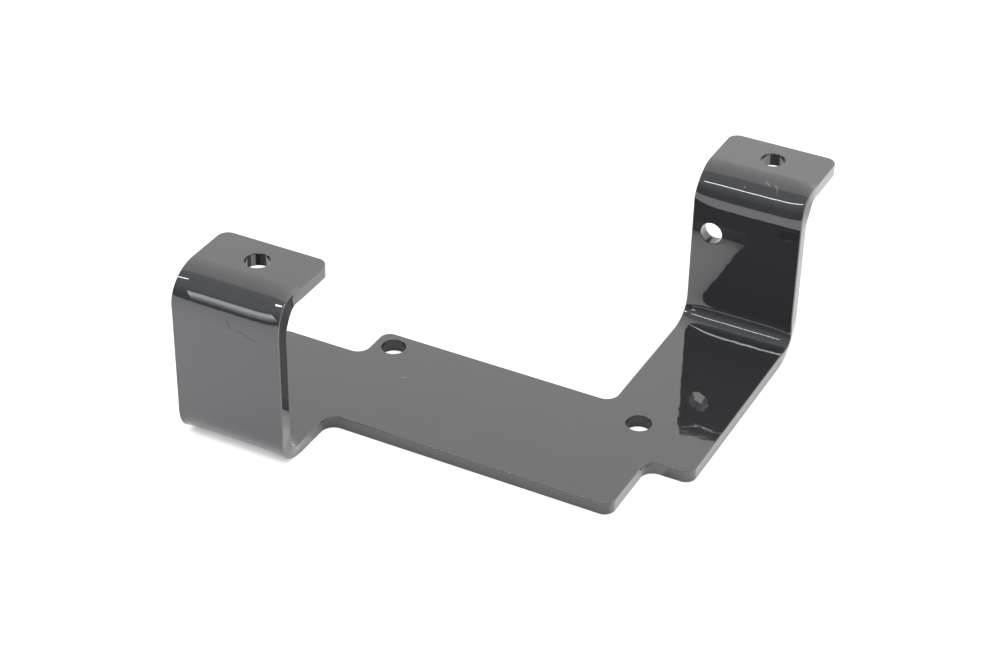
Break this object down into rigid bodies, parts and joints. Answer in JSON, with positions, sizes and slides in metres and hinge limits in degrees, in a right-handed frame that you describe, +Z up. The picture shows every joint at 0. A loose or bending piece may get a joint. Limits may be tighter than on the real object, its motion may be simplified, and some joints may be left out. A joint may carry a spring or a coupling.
{
  "type": "bracket",
  "caption": "Folded steel plate bracket: a stepped flat plate with a hooked leg at one end and an outward-turned leg on an arm at the other, with bolt holes.",
  "frame": {"origin": "on the ground, under the middle of the bracket's length and width", "axes": "+X along the flat plate, from the hooked leg towards the arm; +Y from the hooked leg's wall towards the arm's tab; +Z up, from the flat underside towards the tabs"},
  "size_m": [0.2042, 0.2214, 0.0797],
  "materials": {
    "coated_steel": "gloss dark grey powder coat"
  },
  "bodies": {
    "root": {"bracket": "coated_steel"}
  },
  "joints": []
}
